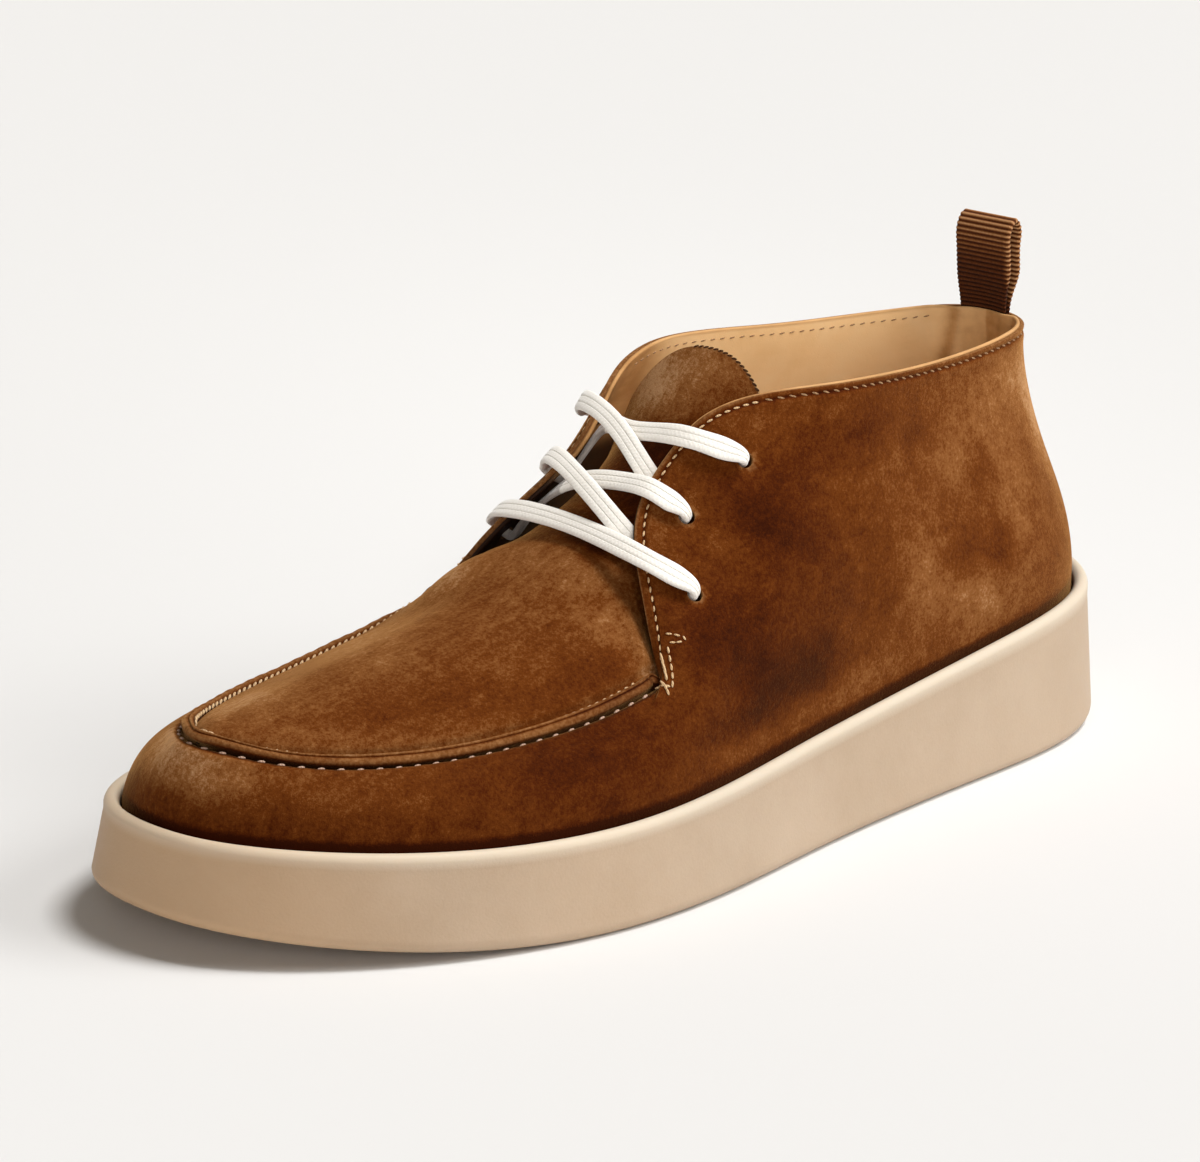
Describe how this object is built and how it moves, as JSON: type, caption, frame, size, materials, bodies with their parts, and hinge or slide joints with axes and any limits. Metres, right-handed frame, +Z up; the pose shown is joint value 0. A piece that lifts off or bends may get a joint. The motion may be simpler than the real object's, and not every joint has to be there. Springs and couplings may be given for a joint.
{
  "type": "moc-toe chukka boot",
  "caption": "Low brown suede lace-up boot with a moccasin toe, flat cream laces, a heel pull loop and a thick pale cup sole.",
  "frame": {"origin": "centre of the overall box in plan, on the ground under the tread", "axes": "-Y towards the toe, +Y towards the heel, +X towards the outer side of the foot, +Z up"},
  "size_m": [0.113, 0.3, 0.1269],
  "materials": {
    "gum_rubber": "matte pale beige rubber",
    "tan_leather": "smooth tan leather",
    "brown_suede": "napped mid-brown suede",
    "cream_cotton": "flat woven cotton lace",
    "brown_grosgrain": "ribbed webbing"
  },
  "bodies": {
    "root": {"cup_sole": "gum_rubber", "insole": "tan_leather", "upper": "brown_suede", "apron_and_tongue": "brown_suede", "laces": "cream_cotton", "heel_loop": "brown_grosgrain"}
  },
  "joints": []
}
